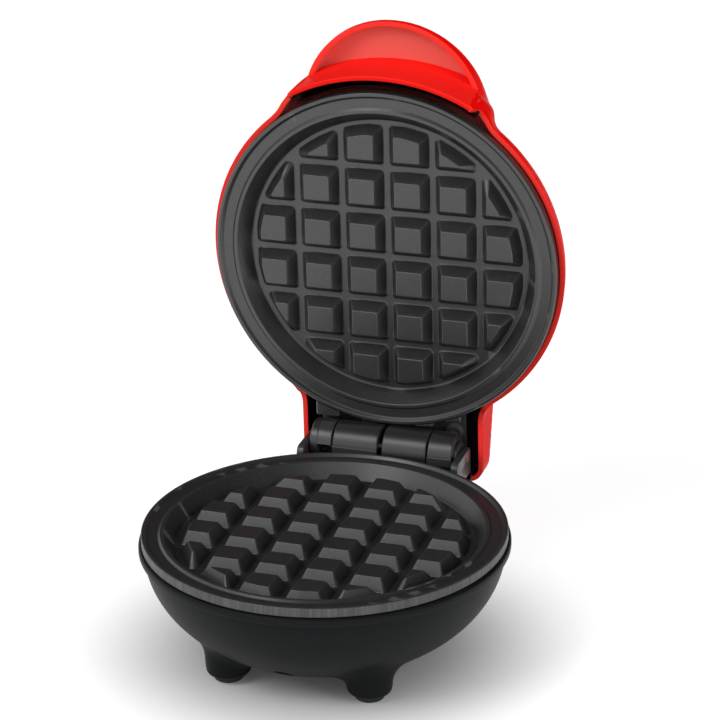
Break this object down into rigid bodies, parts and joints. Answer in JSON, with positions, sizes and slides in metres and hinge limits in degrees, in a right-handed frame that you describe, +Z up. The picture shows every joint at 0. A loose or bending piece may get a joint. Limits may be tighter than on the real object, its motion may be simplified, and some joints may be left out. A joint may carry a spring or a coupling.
{
  "type": "waffle maker",
  "caption": "Small round waffle maker on four legs: red hinged lid with a front finger grip, two dark plates with raised square blocks, and a black bowl-shaped base.",
  "frame": {"origin": "on the surface that the rubber pads stand on, on the axis of the lower plate", "axes": "+Z up along the lower plate's axis, +Y towards the hinge, +X to the right seen from the front"},
  "size_m": [0.1284, 0.164, 0.2004],
  "materials": {
    "base_plastic": "satin black moulded plastic",
    "pad_rubber": "matt black rubber",
    "plate_coating": "cast aluminium with a dark, finely speckled non-stick coating",
    "screw_steel": "zinc-plated steel",
    "element_sheath": "heat-darkened steel tube",
    "sheet_steel": "plain steel sheet",
    "reflector_aluminium": "bright aluminium sheet",
    "thermostat_body": "moulded phenolic",
    "fuse_body": "woven glass sleeve",
    "terminal_ceramic": "unglazed ceramic",
    "live_insulation": "silicone rubber, brown",
    "neutral_insulation": "silicone rubber, blue",
    "earth_insulation": "silicone rubber, green and yellow",
    "gland_rubber": "matt black rubber",
    "clamp_plastic": "plain nylon",
    "hinge_plastic": "semi-matt black moulded plastic",
    "pin_steel": "drawn steel rod",
    "lid_plastic": "glossy red moulded plastic",
    "lens_plastic": "tinted clear plastic",
    "lamp_glass": "clear glass neon lamp",
    "sleeve_insulation": "braided glass sleeve"
  },
  "bodies": {
    "base": {"lower_housing": "base_plastic", "foot_pads": "pad_rubber", "lower_plate": "plate_coating", "lower_plate_screws": "screw_steel", "lower_element": "element_sheath", "lower_element_clamps": "sheet_steel", "lower_clamp_screws": "screw_steel", "lower_reflector": "reflector_aluminium", "thermostat": "thermostat_body", "thermostat_bracket": "sheet_steel", "thermostat_screws": "screw_steel", "thermal_fuse": "fuse_body", "terminal_block": "terminal_ceramic", "terminal_block_screws": "screw_steel", "live_wires": "live_insulation", "neutral_wires": "neutral_insulation", "earth_wire": "earth_insulation", "cord_gland": "gland_rubber", "cord_clamp": "clamp_plastic", "cord_clamp_screws": "screw_steel", "base_hinge_bracket": "hinge_plastic", "base_hinge_screws": "screw_steel", "hinge_pin": "pin_steel"},
    "lid": {"upper_housing": "lid_plastic", "upper_plate": "plate_coating", "upper_plate_screws": "screw_steel", "upper_element": "element_sheath", "upper_element_clamps": "sheet_steel", "upper_clamp_screws": "screw_steel", "upper_reflector": "reflector_aluminium", "lid_hinge_bracket": "hinge_plastic", "lid_hinge_screws": "screw_steel", "indicator_lens": "lens_plastic", "indicator_lamp": "lamp_glass", "lid_wires": "sleeve_insulation"}
  },
  "joints": [
    {"name": "lid_hinge", "type": "hinge", "parent": "base", "child": "lid", "pos_m": [0, 0.071, 0.0453], "axis": [1, 0, 0], "range_deg": [0, 88.2]}
  ]
}
